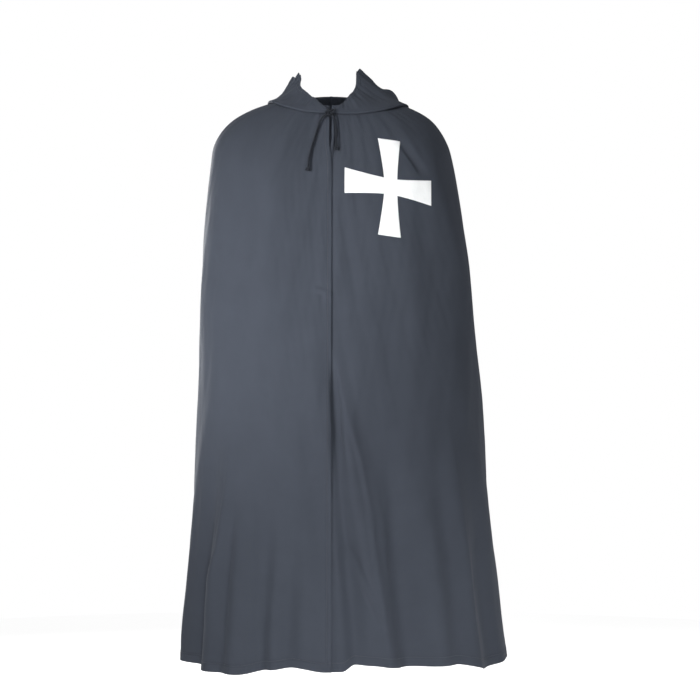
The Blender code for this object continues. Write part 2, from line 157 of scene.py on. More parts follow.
def foldHeight(angle, z):
    total = np.zeros(np.broadcast(angle, z).shape)
    for fold in folds:
        share = smoothStep(-fold.zStart, -fold.zFull, -z)
        if fold.zGone is not None:
            share = share * (1 - smoothStep(-fold.zFull, -fold.zGone, -z))
        run = np.clip((fold.zStart - z) / (fold.zStart - hemZ), 0, 1)
        middle = fold.angleTop + (fold.angleHem - fold.angleTop) * run
        away = np.abs(wrapped(angle - middle)) / (2 * fold.halfWidth)
        total += fold.height * share * np.where(away < 0.5, np.cos(np.pi * away) ** 2, 0)
    return total


def hemLift(angle, z):
    angle = wrapped(angle)
    lift = np.zeros(np.broadcast(angle, z).shape)
    for here, there in zip(hemLifts, hemLifts[1:]):
        inside = (angle >= here.angle) & (angle <= there.angle)
        between = smoothStep(here.angle, there.angle, angle)
        lift = np.where(inside, here.lift + (there.lift - here.lift) * between, lift)
    return lift * smoothStep(-hemFrom, -hemZ, -z)


def bodyPoint(angle, place):
    ring = tableAt(rings, place)
    across, ahead = np.sin(np.radians(angle)), np.cos(np.radians(angle))
    side = np.where(across > 0, ring["left"], ring["right"])
    depth = np.where(ahead > 0, ring["front"], ring["back"])
    power = ring["square"]
    radius = (np.abs(across / side) ** power + np.abs(ahead / depth) ** power) ** (-1 / power)
    endZ = np.where(ahead > 0, ring["zFront"], ring["zBack"])
    z = endZ * ahead**2 + ring["zSide"] * across**2
    radius = radius + foldHeight(angle, z)
    return np.stack((radius * across, -radius * ahead, z + hemLift(angle, z)), axis=-1)


def planRadius(points):
    return np.hypot(points[..., 0], points[..., 1])


def unit(vectors):
    return vectors / np.maximum(np.linalg.norm(vectors, axis=-1, keepdims=True), 1e-9)


def gridNormals(points):
    down, around = np.gradient(points, axis=0), np.gradient(points, axis=1)
    return unit(np.cross(down, around))


def bodyNormal(angle, place):
    placeStep, angleStep = 0.02, 0.5
    low, high = np.maximum(place - placeStep, 0), np.minimum(place + placeStep, lastRing)
    around = bodyPoint(angle + angleStep, place) - bodyPoint(angle - angleStep, place)
    return unit(np.cross(bodyPoint(angle, high) - bodyPoint(angle, low), around))


def alongLengths(points, axis):
    steps = np.linalg.norm(np.diff(points, axis=axis), axis=-1)
    pad = [(0, 0), (0, 0)]
    pad[axis] = (1, 0)
    return np.cumsum(np.pad(steps, pad), axis=axis)


def runDown(angle, lastPlace, count):
    # distances down the body from the neck seam, and the places in the rings where they fall
    places = np.linspace(0, lastPlace, count)
    run = alongLengths(bodyPoint(np.full(count, angle), places)[:, None, :], 0)[:, 0]
    return run, places


def placesBelowNeck(angle, drops):
    run, places = runDown(angle, upperRing, upperSteps)
    return np.interp(drops, run, places)


# Creases, each given as a line of (angle, z) points, height, width to either side of the
# line in metres, and how much of each end fades (0 keeps the end sharp, for the hem)
creaseRow = namedtuple("creaseRow", "name line height minusSide plusSide fadeStart fadeEnd")
creases = [
    creaseRow("lap edge", [
        (1.7, -0.50), (5.8, -0.59), (9.8, -0.66), (14.9, -0.74),
        (18.2, -0.83), (19.2, -0.90), (22.2, -1.03), (24.5, -1.18),
    ], 0.0050, 0.010, 0.034, 0.45, 0),
    creaseRow("lap hollow", [
        (0.6, -0.52), (2.4, -0.59), (3.8, -0.66), (5.6, -0.74), (7.6, -0.82),
    ], -0.0085, 0.016, 0.016, 0.3, 0.45),
    creaseRow("lap second", [
        (5.7, -0.887), (11.1, -0.94), (15.0, -0.987), (19.2, -1.034), (22.5, -1.08),
    ], -0.0050, 0.012, 0.012, 0.4, 0.3),
    creaseRow("right low edge", [
        (-50, -0.66), (-50.5, -0.80), (-52.5, -0.93), (-57.5, -1.0), (-61.5, -1.09), (-62.5, -1.18),
    ], 0.0045, 0.011, 0.034, 0.4, 0),
    creaseRow("right inner edge", [
        (-37, -0.76), (-36.5, -0.83), (-35.6, -1.0), (-36.5, -1.18),
    ], 0.0030, 0.030, 0.010, 0.5, 0),
    creaseRow("left low edge", [
        (56, -0.62), (57.6, -0.70), (59.3, -0.87), (60.5, -1.03), (61.4, -1.18),
    ], 0.0030, 0.030, 0.013, 0.5, 0),
    creaseRow("left knee hollow", [
        (26, -0.66), (29, -0.82), (32, -0.95), (34, -1.08),
    ], -0.0065, 0.045, 0.070, 0.45, 0.4),
    creaseRow("cross diagonal", [
        (52.6, -0.068), (53.4, -0.082), (54.4, -0.098), (55.8, -0.115),
        (57.1, -0.131), (58.2, -0.146), (59.0, -0.160),
    ], -0.0055, 0.008, 0.016, 0.35, 0.35),
    creaseRow("throat hollow", [
        (4.2, -0.012), (7.0, -0.030), (8.2, -0.048), (8.0, -0.066), (6.0, -0.090), (4.0, -0.120),
    ], -0.0080, 0.013, 0.017, 0.25, 0.5),
    creaseRow("right chest ridge", [
        (-37, -0.17), (-38, -0.30), (-38, -0.45), (-37, -0.64),
    ], 0.0050, 0.035, 0.095, 0.4, 0.5),
    creaseRow("waist crook", [
        (-12, -0.392), (-6, -0.394), (-0.6, -0.402),
    ], 0.0022, 0.007, 0.010, 0.5, 0.0),
    creaseRow("waist crook fall", [
        (-4.5, -0.385), (-5.0, -0.41), (-5.4, -0.44),
    ], -0.0016, 0.006, 0.009, 0.4, 0.6),
]

# Mean radius of the body at distances below the neck, which turns angles into lengths
meanRadius = {"below": (0.1, 0.3, 0.6, 1.17), "radius": (0.19, 0.21, 0.24, 0.30)}


def alongCrease(line, here):
    # distance from the crease's line, the side of it, and the share of the way along it
    lengths = np.linalg.norm(np.diff(line, axis=0), axis=1)
    starts = np.concatenate(([0], np.cumsum(lengths)))
    nearest = np.full(here.shape[:-1], np.inf)
    side, run = np.zeros(nearest.shape), np.zeros(nearest.shape)
    for k, length in enumerate(lengths):
        way = (line[k + 1] - line[k]) / length
        offset = here - line[k]
        along = np.clip(offset @ way, 0, length)
        distance = np.linalg.norm(offset - along[..., None] * way, axis=-1)
        nearer = distance < nearest
        nearest = np.where(nearer, distance, nearest)
        side = np.where(nearer, offset[..., 0] * -way[1] + offset[..., 1] * way[0], side)
        run = np.where(nearer, (starts[k] + along) / starts[-1], run)
    return nearest, side, run


def creaseHeight(angle, z):
    around, total = np.radians(wrapped(angle)), np.zeros(z.shape)
    for crease in creases:
        line = np.array(crease.line, dtype=float)
        radius = np.interp(abs(line[:, 1].mean()), meanRadius["below"], meanRadius["radius"])
        line[:, 0] = np.radians(line[:, 0]) * radius
        nearest, side, run = alongCrease(line, np.stack((around * radius, z), axis=-1))
        height = crease.height * fallOff(nearest / np.where(side > 0, crease.plusSide, crease.minusSide))
        if crease.fadeStart:
            height = height * smoothStep(0, crease.fadeStart, run)
        if crease.fadeEnd:
            height = height * smoothStep(0, crease.fadeEnd, 1 - run)
        total += height
    return total


# Soft unevenness of hanging cloth: how many waves, their fewest and most turns round the
# cloak, so that the seams agree, their length down it and their height
waveRow = namedtuple("waveRow", "name count fewest most length height")
anyPhase = (0, 6.28)
unevenness = {
    "seed": 41, "lean": (-1.4, 1.4), "share": (0.5, 1.0), "strength": 1.6,
    "waves": [
        waveRow("broad", 16, 6, 16, 0.45, 0.0016),
        waveRow("middling", 20, 18, 40, 0.22, 0.00045),
        waveRow("fine", 22, 45, 90, 0.07, 0.00013),
    ],
}
# Gathers below the neck seam, which die away down the cloth
gathers = {
    "seed": 7, "waves": (17, 23, 31, 44), "share": (0.4, 1.0),
    "height": 0.0004, "length": 0.035, "start": 0.006,
}


def clothWaves(angle, z):
    rng = np.random.default_rng(unevenness["seed"])
    around, total = np.radians(angle), np.zeros(z.shape)
    for wave in unevenness["waves"]:
        for _ in range(wave.count):
            turns = rng.integers(wave.fewest, wave.most)
            fall = 2 * np.pi / wave.length * rng.uniform(*unevenness["lean"])
            share = rng.uniform(*unevenness["share"]) / math.sqrt(wave.count)
            phase = turns * around + fall * z + rng.uniform(*anyPhase)
            total += wave.height * share * unevenness["strength"] * np.cos(phase)
    return total


def neckGathers(angle, drop):
    rng = np.random.default_rng(gathers["seed"])
    total = np.zeros(drop.shape)
    for waves in gathers["waves"]:
        phase = np.radians(angle) * waves + rng.uniform(*anyPhase)
        total += np.cos(phase) * rng.uniform(*gathers["share"])
    fading = np.exp(-drop / gathers["length"]) * smoothStep(0, gathers["start"], drop)
    return gathers["height"] * total * fading


def gridQuads(points):
    rows, columns = points.shape[:2]
    index = np.arange(rows * columns).reshape(rows, columns)
    corners = (index[:-1, :-1], index[1:, :-1], index[1:, 1:], index[:-1, 1:])
    return np.stack(corners, axis=-1).reshape(-1, 4)


def meshObject(name, points, faces):
    mesh = bpy.data.meshes.new(name)
    mesh.from_pydata([tuple(p) for p in points], [], [tuple(f) for f in faces])
    mesh.shade_smooth()
    made = bpy.data.objects.new(name, mesh)
    bpy.context.scene.collection.objects.link(made)
    return made


def addWall(made, wall, offset):
    shell = made.modifiers.new("wall", "SOLIDIFY")
    shell.thickness = wall
    shell.offset = offset


def clothObject(name, points, flat, offset):
    quads = gridQuads(points)
    made = meshObject(name, points.reshape(-1, 3).tolist(), quads.tolist())
    layer = made.data.uv_layers.new(name="flat")
    layer.data.foreach_set("uv", flat.reshape(-1, 2)[quads.reshape(-1)].astype(np.float32).reshape(-1))
    addWall(made, shellWall, offset)
    return made


def fitPiece(piece, node, material):
    piece.data.materials.append(material)
    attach(piece, "root")
    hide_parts(node)


# Stitches: spacing, size, lift off the cloth, and distance in from the turned cloth's inner edge
hemStitch = {"pitch": 0.0036, "length": 0.0030, "width": 0.00075, "height": 0.00035, "lift": 0.00015}
hemStitchIn = 0.002


def readAlong(places, run, values):
    return np.stack([np.interp(places, run, values[:, k]) for k in range(3)], axis=-1)


def stitchRun(line, normals, pitch):
    # places, directions and normals of stitches along a line on the cloth
    steps = np.linalg.norm(np.diff(line, axis=0), axis=1)
    run = np.concatenate(([0], np.cumsum(steps)))
    places = np.arange(pitch, run[-1] - pitch / 2, pitch)
    middle = readAlong(places, run, line)
    return middle, unit(np.gradient(middle, axis=0)), unit(readAlong(places, run, normals))


def stitchObject(name, runs, stitch):
    # each stitch is a small lozenge of thread that dives into the cloth at both ends
    length, width, height = stitch["length"], stitch["width"], stitch["height"]
    dive, shoulder = 0.6 * height, 0.28 * length
    points, faces = [], []
    for middle, ways, out in runs:
        across = np.cross(ways, out)
        for p, w, n, a in zip(middle, ways, out, across):
            base = len(points)
            points += [p - w * length / 2 - n * dive, p + w * length / 2 - n * dive]
            for q in (p - w * shoulder, p + w * shoulder):
                points += [q + a * width / 2, q + n * height, q - a * width / 2, q - n * dive]
            for k in range(4):
                m = (k + 1) % 4
                faces += [(base, base + 2 + k, base + 2 + m), (base + 1, base + 6 + m, base + 6 + k)]
                faces += [(base + 2 + k, base + 6 + k, base + 6 + m, base + 2 + m)]
    return meshObject(name, points, faces)


def shaderGroup(name, inputs, outputs):
    group = bpy.data.node_groups.new(name, "ShaderNodeTree")
    for label, kind, value in inputs:
        made = group.interface.new_socket(label, in_out="INPUT", socket_type=kind)
        if value is not None:
            made.default_value = value
    for label, kind in outputs:
        group.interface.new_socket(label, in_out="OUTPUT", socket_type=kind)
    return group, group.nodes.new("NodeGroupInput"), group.nodes.new("NodeGroupOutput")


def addNode(tree, kind, **values):
    node = tree.nodes.new(kind)
    for name, value in values.items():
        if hasattr(node, name):
            setattr(node, name, value)
        else:
            node.inputs[name.replace("_", " ")].default_value = value
    return node


# Woven threads: crossing bands in the flat cut's own metres, with uneven yarn
weaveGroup, weaveIn, weaveOut = shaderGroup("woven threads", [
    ("Flat", "NodeSocketVector", None),
    ("Threads per metre", "NodeSocketFloat", 900.0),
    ("Slub", "NodeSocketFloat", 0.35),
], [("Height", "NodeSocketFloat")])
oneBand = 0.314  # wave scale at which one thread fills one unit
weaveScale = addNode(weaveGroup, "ShaderNodeVectorMath", operation="SCALE")
weaveWarp = addNode(weaveGroup, "ShaderNodeTexWave", bands_direction="X", Scale=oneBand, Distortion=0.6)
weaveWeft = addNode(weaveGroup, "ShaderNodeTexWave", bands_direction="Y", Scale=oneBand, Distortion=0.6)
weaveSlub = addNode(weaveGroup, "ShaderNodeTexNoise", Scale=240.0, Detail=2.0)
weaveMix = addNode(weaveGroup, "ShaderNodeMath", operation="MAXIMUM")
weaveSlubPart = addNode(weaveGroup, "ShaderNodeMath", operation="MULTIPLY")
weaveSum = addNode(weaveGroup, "ShaderNodeMath", operation="ADD")
weaveLinks = weaveGroup.links
weaveLinks.new(weaveIn.outputs["Flat"], weaveScale.inputs[0])
weaveLinks.new(weaveIn.outputs["Threads per metre"], weaveScale.inputs["Scale"])
weaveLinks.new(weaveScale.outputs[0], weaveWarp.inputs["Vector"])
weaveLinks.new(weaveScale.outputs[0], weaveWeft.inputs["Vector"])
weaveLinks.new(weaveIn.outputs["Flat"], weaveSlub.inputs["Vector"])
weaveLinks.new(weaveWarp.outputs["Fac"], weaveMix.inputs[0])
weaveLinks.new(weaveWeft.outputs["Fac"], weaveMix.inputs[1])
weaveLinks.new(weaveSlub.outputs["Fac"], weaveSlubPart.inputs[0])
weaveLinks.new(weaveIn.outputs["Slub"], weaveSlubPart.inputs[1])
weaveLinks.new(weaveMix.outputs[0], weaveSum.inputs[0])
weaveLinks.new(weaveSlubPart.outputs[0], weaveSum.inputs[1])
weaveLinks.new(weaveSum.outputs[0], weaveOut.inputs["Height"])

# Uneven tone: cloudy lighter and darker patches between two colours
toneGroup, toneIn, toneOut = shaderGroup("uneven tone", [
    ("Flat", "NodeSocketVector", None),
    ("Dark", "NodeSocketColor", None),
    ("Light", "NodeSocketColor", None),
    ("Scale", "NodeSocketFloat", 14.0),
], [("Color", "NodeSocketColor")])
toneNoise = addNode(toneGroup, "ShaderNodeTexNoise", Detail=6.0, Roughness=0.62)
toneMix = addNode(toneGroup, "ShaderNodeMix", data_type="RGBA")
toneGroup.links.new(toneIn.outputs["Flat"], toneNoise.inputs["Vector"])
toneGroup.links.new(toneIn.outputs["Scale"], toneNoise.inputs["Scale"])
toneGroup.links.new(toneNoise.outputs["Fac"], toneMix.inputs["Factor"])
toneGroup.links.new(toneIn.outputs["Dark"], toneMix.inputs["A"])
toneGroup.links.new(toneIn.outputs["Light"], toneMix.inputs["B"])
toneGroup.links.new(toneMix.outputs["Result"], toneOut.inputs["Color"])


def clothMaterial(name, look):
    material = bpy.data.materials.new(name)
    material.use_nodes = True
    tree = material.node_tree
    shader = tree.nodes["Principled BSDF"]
    shader.inputs["Roughness"].default_value = look["roughness"]
    shader.inputs["Sheen Weight"].default_value = look["sheen"]
    shader.inputs["Sheen Roughness"].default_value = look["sheenRoughness"]
    shader.inputs["Sheen Tint"].default_value = look["sheenTint"]
    shader.inputs["Specular IOR Level"].default_value = look["specular"]
    place = addNode(tree, "ShaderNodeTexCoord")
    source = place.outputs[look["coordinates"]]
    tone = addNode(tree, "ShaderNodeGroup", node_tree=toneGroup)
    tone.inputs["Dark"].default_value = look["dark"]
    tone.inputs["Light"].default_value = look["light"]
    tone.inputs["Scale"].default_value = look["toneScale"]
    weave = addNode(tree, "ShaderNodeGroup", node_tree=weaveGroup)
    weave.inputs["Threads per metre"].default_value = look["threads"]
    weave.inputs["Slub"].default_value = look["slub"]
    bump = addNode(tree, "ShaderNodeBump", Strength=look["bump"], Distance=look["bumpDistance"])
    tree.links.new(source, tone.inputs["Flat"])
    tree.links.new(source, weave.inputs["Flat"])
    tree.links.new(tone.outputs["Color"], shader.inputs["Base Color"])
    tree.links.new(weave.outputs["Height"], bump.inputs["Height"])
    tree.links.new(bump.outputs["Normal"], shader.inputs["Normal"])
    return material


cloth = clothMaterial("black polyester", {
    "dark": (0.0365, 0.0424, 0.0550, 1), "light": (0.0470, 0.0537, 0.0697, 1), "toneScale": 16.0,
    "roughness": 0.85, "specular": 0.12,
    "sheen": 0.05, "sheenRoughness": 0.45, "sheenTint": (0.75, 0.80, 0.92, 1),
    "coordinates": "UV", "threads": 900.0, "slub": 0.35, "bump": 0.25, "bumpDistance": 0.0004,
})
felt = clothMaterial("white felt", {
    "dark": (0.76, 0.77, 0.78, 1), "light": (0.84, 0.85, 0.85, 1), "toneScale": 60.0,
    "roughness": 0.95, "specular": 0.2,
    "sheen": 0.15, "sheenRoughness": 0.5, "sheenTint": (1, 1, 1, 1),
    "coordinates": "Object", "threads": 20.0, "slub": 1.6, "bump": 0.35, "bumpDistance": 0.0006,
})
cordCloth = clothMaterial("black cord", {
    "dark": (0.012, 0.014, 0.018, 1), "light": (0.024, 0.027, 0.035, 1), "toneScale": 300.0,
    "roughness": 0.8, "specular": 0.15,
    "sheen": 0.06, "sheenRoughness": 0.4, "sheenTint": (0.8, 0.85, 0.95, 1),
    "coordinates": "Object", "threads": 800.0, "slub": 0.6, "bump": 0.5, "bumpDistance": 0.0005,
})
thread = clothMaterial("black thread", {
    "dark": (0.020, 0.021, 0.026, 1), "light": (0.034, 0.036, 0.043, 1), "toneScale": 200.0,
    "roughness": 0.5, "specular": 0.5,
    "sheen": 0.1, "sheenRoughness": 0.4, "sheenTint": (0.8, 0.85, 0.95, 1),
    "coordinates": "Object", "threads": 2500.0, "slub": 0.3, "bump": 0.2, "bumpDistance": 0.0002,
})
whiteThread = clothMaterial("white thread", {
    "dark": (0.80, 0.80, 0.80, 1), "light": (0.88, 0.88, 0.88, 1), "toneScale": 200.0,
    "roughness": 0.5, "specular": 0.5,
    "sheen": 0.1, "sheenRoughness": 0.4, "sheenTint": (1, 1, 1, 1),
    "coordinates": "Object", "threads": 2500.0, "slub": 0.3, "bump": 0.2, "bumpDistance": 0.0002,
})
print("stage: materials made")

# Front opening: half its gap at the throat, how far the edges pass where they lap, how far the
# left front lies behind and over what width, and the heights at which each begins and is whole
opening = {
    "halfGap": 0.0025, "lapOver": 0.003, "lapUnder": 0.012, "lapStarts": -0.072, "lapWhole": -0.135,
    "depth": 0.0024, "sinkStarts": -0.030, "sinkWhole": -0.095, "blendStarts": 0.0102, "blendWhole": 0.034,
    "deeper": 0.0020, "deeperStarts": -0.60, "deeperWhole": -0.95,
}


def edgeAngle(place, left):
    middle = bodyPoint(np.zeros(np.shape(place)), place)
    lapped = smoothStep(-opening["lapStarts"], -opening["lapWhole"], -middle[..., 2])
    openX = opening["halfGap"] if left else -opening["halfGap"]
    lappedX = -opening["lapUnder"] if left else opening["lapOver"]
    return np.degrees(np.arcsin((openX + (lappedX - openX) * lapped) / planRadius(middle)))


def leftFrontPoint(angle, place):
    point = bodyPoint(angle, place)
    radius, fallen = planRadius(point), -point[..., 2]
    sunk = smoothStep(-opening["sinkStarts"], -opening["sinkWhole"], fallen)
    deeper = opening["deeper"] * smoothStep(-opening["deeperStarts"], -opening["deeperWhole"], fallen)
    fromEdge = np.radians(angle - edgeAngle(place, True)) * radius
    blend = 1 - smoothStep(opening["blendStarts"], opening["blendWhole"], fromEdge)
    behind = (opening["depth"] + deeper) * sunk * blend
    point[..., :2] *= (1 - behind / radius)[..., None]
    return point


def seamAngle(place, side, towardsFront):
    # the sewn edges pass each other by a hair, so that no light comes through
    radius = planRadius(bodyPoint(np.full(np.shape(place), 90.0 * side), place))
    lap = np.degrees(seamLap / radius)
    return side * (90.0 + lap if towardsFront else 90.0 - lap)


# Body panels: widths of the turned edges, close rows and columns there and at the seams, and
# how far a seam draws the cloth in
hemTurn, edgeTurn = 0.020, 0.011
hemBand = np.arange(0, 0.0265, 0.0013)
edgeBand = np.arange(0, 0.0151, 0.00125)
seamBand = np.array((0, 0.0007, 0.0015, 0.0026, 0.0042, 0.0065))
aboveHemBand = 0.002
seamPinch, seamPinchWidth = 0.0013, 0.0030

# Turned edges: step of the doubled cloth, dent of the stitching and puckers beside it
turned = {
    "doubled": 0.0006, "stepHalf": 0.0015, "dent": 0.0005, "dentWidth": 0.0012,
    "pucker": 0.00022, "puckerWidth": 0.006, "puckerPitch": 0.013, "sway": 2.2, "swayPitch": 0.071,
}


def turnedEdge(distance, turn, run):
    fromStitch = distance - turn + hemStitchIn
    sway = turned["sway"] * np.sin(run * 2 * np.pi / turned["swayPitch"])
    puckers = turned["pucker"] * np.cos(run * 2 * np.pi / turned["puckerPitch"] + sway)
    single = smoothStep(turn - turned["stepHalf"], turn + turned["stepHalf"], distance)
    dent = turned["dent"] * bell(fromStitch, turned["dentWidth"])
    return turned["doubled"] * (1 - single) - dent + puckers * bell(fromStitch, turned["puckerWidth"])


def stitchLineAt(distances, turn):
    return int(np.argmin(np.abs(distances - turn + hemStitchIn)))


def rowPlaces(probeAngle, count):
    # places in the rings of evenly spaced rows, and close ones in the hem
    run, places = runDown(probeAngle, lastRing, wholeSteps)
    even = np.linspace(0, run[-1] - hemBand[-1] - aboveHemBand, count)
    return np.interp(np.concatenate((even, run[-1] - hemBand[::-1])), run, places)


def panelAngles(start, end, radius, startBand, endBand, middle):
    first = start[:, None] + np.degrees(startBand[None, :] / radius[:, None])
    last = end[:, None] - np.degrees(endBand[None, ::-1] / radius[:, None])
    share = np.linspace(0, 1, middle + 2)[1:-1]
    between = first[:, -1:] + (last[:, :1] - first[:, -1:]) * share
    return np.concatenate((first, between, last), axis=1)


def makePanel(panel):
    places = rowPlaces(panel["probe"], panel["rows"])
    start, end = panel["start"](places), panel["end"](places)
    radius = planRadius(bodyPoint((start + end) / 2, places))
    bands = [seamBand if kind == "seam" else edgeBand for kind in panel["edges"]]
    angle = panelAngles(start, end, radius, *bands, panel["columns"])
    place = np.repeat(places[:, None], angle.shape[1], axis=1)
    points = panel["surface"](angle, place)
    z = points[..., 2]
    across, down = alongLengths(points, 1), alongLengths(points, 0)
    fromHem = down[-1:] - down
    fromEdges = (across, across[:, -1:] - across)
    out = creaseHeight(angle, z) + clothWaves(angle, z) + neckGathers(angle, down)
    for kind, distance in zip(panel["edges"], fromEdges):
        if kind == "seam":
            out -= seamPinch * bell(distance, seamPinchWidth)
        else:
            out += turnedEdge(distance, edgeTurn, down)
    out += turnedEdge(fromHem, hemTurn, across)
    points = points + gridNormals(points) * out[..., None]
    flat = np.stack((across - across[:, -1:] / 2, -down), axis=-1)
    made = clothObject(panel["name"], points, flat, -1.0)

    normals = gridNormals(points)
    onCloth = points + normals * hemStitch["lift"]
    hemLine = stitchLineAt(fromHem[:, angle.shape[1] // 2], hemTurn)
    runs = [stitchRun(onCloth[hemLine], normals[hemLine], hemStitch["pitch"])]
    for kind, distance in zip(panel["edges"], fromEdges):
        if kind == "free":
            column = stitchLineAt(distance[len(places) // 2], edgeTurn)
            edgeLine = onCloth[:hemLine, column]
            runs.append(stitchRun(edgeLine, normals[:hemLine, column], hemStitch["pitch"]))
    stitches = stitchObject(panel["name"] + "Stitching", runs, hemStitch)
    fitPiece(made, panel["node"], cloth)
    fitPiece(stitches, panel["node"], thread)
    print(panel["name"], "widest", float(across[:, -1].max()), "longest", float(down[-1].max()))
    return points


rightFrontPoints = makePanel({
    "name": "rightFront", "node": "front_right", "surface": bodyPoint, "probe": -45.0,
    "start": lambda place: seamAngle(place, -1, True),
    "end": lambda place: edgeAngle(place, False),
    "edges": ("seam", "free"), "rows": 270, "columns": 104,
    "cut": (0.53, 1.33), "area": 0.48, "restsOn": ["neck"],
})
leftFrontPoints = makePanel({
    "name": "leftFront", "node": "front_left", "surface": leftFrontPoint, "probe": 45.0,
    "start": lambda place: edgeAngle(place, True),
    "end": lambda place: seamAngle(place, 1, True),
    "edges": ("free", "seam"), "rows": 270, "columns": 104,
    "cut": (0.59, 1.33), "area": 0.52, "restsOn": ["neck"],
})
makePanel({
    "name": "backPanel", "node": "back", "surface": bodyPoint, "probe": 135.0,
    "start": lambda place: seamAngle(place, 1, False),
    "end": lambda place: 360 + seamAngle(place, -1, False),
    "edges": ("seam", "seam"), "rows": 214, "columns": 178,
    "cut": (1.10, 1.33), "area": 1.02, "restsOn": ["neck"],
})
print("stage: body panels made")

# Hood lying back, at stations from the tie to the back seam: distance of its fold down the body,
# radius of the fold, face edge and bow
hoodRow = namedtuple("hoodRow", "name angle drop turn edgeRadius edgeZ bow")
# Creases of its outer layer: station, half width, the shares of the way up between which it lies
hoodCreaseRow = namedtuple("hoodCreaseRow", "name station width low high height")
# Rises and dips of the face edge
edgeShiftRow = namedtuple("edgeShiftRow", "name station width rise")
hoods = {
    "hoodLeft": {
        "node": "hood_left", "side": 1, "seed": 5,
        "cut": (0.54, 0.42), "area": 0.086, "restsOn": "leftFront",
        "rows": [
            hoodRow("tie", 4, 0.018, 0.0024, 0.0860, -0.0080, 0.000),
            hoodRow("throat", 24, 0.027, 0.0024, 0.0700, 0.0105, 0.001),
            hoodRow("neck front", 44, 0.043, 0.0022, 0.0635, 0.0305, 0.000),
            hoodRow("neck side", 67, 0.065, 0.0019, 0.0575, 0.0500, -0.002),
            hoodRow("peak", 92, 0.081, 0.0018, 0.0550, 0.0865, -0.007),
            hoodRow("behind peak", 112, 0.095, 0.0030, 0.0745, 0.0690, 0.006),
            hoodRow("shoulder", 133, 0.124, 0.0085, 0.1120, 0.0470, 0.010),
            hoodRow("back side", 156, 0.166, 0.0125, 0.1260, 0.0300, 0.016),
            hoodRow("back seam", 180, 0.196, 0.0140, 0.1320, 0.0220, 0.020),
        ],
        "creases": [
            hoodCreaseRow("notch", 4.75, 0.40, 0.46, 0.76, -0.0055),
            hoodCreaseRow("second lobe", 4.92, 0.48, 0.15, 0.64, 0.0145),
            hoodCreaseRow("lower lobe", 4.9, 0.50, 0.02, 0.40, 0.0055),
            hoodCreaseRow("cheek", 3.1, 0.50, 0.10, 0.85, -0.0030),
            hoodCreaseRow("jaw", 2.2, 0.45, 0.10, 0.90, 0.0018),
            hoodCreaseRow("back drag", 6.7, 0.35, 0.05, 0.75, -0.0055),
            hoodCreaseRow("back roll", 7.35, 0.45, 0.05, 0.9, 0.0045),
        ],
        "edgeShifts": [
            edgeShiftRow("full slope", 4.60, 0.75, 0.0100),
            edgeShiftRow("blunt tip", 4.08, 0.36, -0.0058),
            edgeShiftRow("round of the tip", 4.32, 0.26, -0.0045),
        ],
    },
    "hoodRight": {
        "node": "hood_right", "side": -1, "seed": 9,
        "cut": (0.54, 0.42), "area": 0.070, "restsOn": "rightFront",
        "rows": [
            hoodRow("tie", 4, 0.018, 0.0024, 0.0860, -0.0080, 0.000),
            hoodRow("throat", 25, 0.024, 0.0024, 0.0710, 0.0145, 0.001),
            hoodRow("neck front", 46, 0.033, 0.0022, 0.0690, 0.0310, -0.001),
            hoodRow("neck side", 69, 0.042, 0.0019, 0.0685, 0.0480, -0.004),
            hoodRow("peak", 94, 0.050, 0.0018, 0.0655, 0.0785, -0.008),
            hoodRow("behind peak", 114, 0.066, 0.0030, 0.0915, 0.0715, -0.002),
            hoodRow("shoulder", 134, 0.108, 0.0085, 0.1120, 0.0480, 0.006),
            hoodRow("back side", 156, 0.162, 0.0125, 0.1240, 0.0290, 0.015),
            hoodRow("back seam", 180, 0.196, 0.0140, 0.1320, 0.0220, 0.020),
        ],
        "creases": [
            hoodCreaseRow("notch", 4.42, 0.17, 0.55, 1.6, -0.0060),
            hoodCreaseRow("second lobe", 4.86, 0.34, 0.35, 1.6, 0.0025),
            hoodCreaseRow("cheek", 2.9, 0.50, 0.10, 0.85, -0.0025),
            hoodCreaseRow("jaw", 2.0, 0.45, 0.10, 0.90, 0.0015),
            hoodCreaseRow("back drag", 6.6, 0.35, 0.05, 0.75, -0.0060),
            hoodCreaseRow("back roll", 7.3, 0.45, 0.05, 0.9, 0.0050),
        ],
        "edgeShifts": [
            edgeShiftRow("notch", 4.48, 0.34, -0.0075),
            edgeShiftRow("blunt tip", 4.02, 0.22, -0.0040),
            edgeShiftRow("back of the tip", 4.22, 0.16, 0.0020),
        ],
    },
}
faceTurn = 0.014
hoodLift, hoodLiftBy = 0.0016, 0.3  # stand-off of the under layer, and the share of it that rises
hoodPinch = 0.0012  # how far the back seam draws the cloth in
hoodSeamCalm = 0.022  # width beside the back seam in which the creases die away
hoodColumns, underRows, foldRows = 150, 16, 10
outerShares = np.concatenate((np.linspace(0, 0.72, 26)[1:], np.linspace(0.72, 1, 24)[1:]))
# Soft waves of the outer layer: how many and how high, and the shares of the way up where they come in
hoodWaves = {
    "waves": ((5, 0.0009), (9, 0.0007), (14, 0.0005), (26, 0.00025)),
    "perStation": 0.7, "lean": (-3, 3), "starts": 0.02, "whole": 0.4,
}


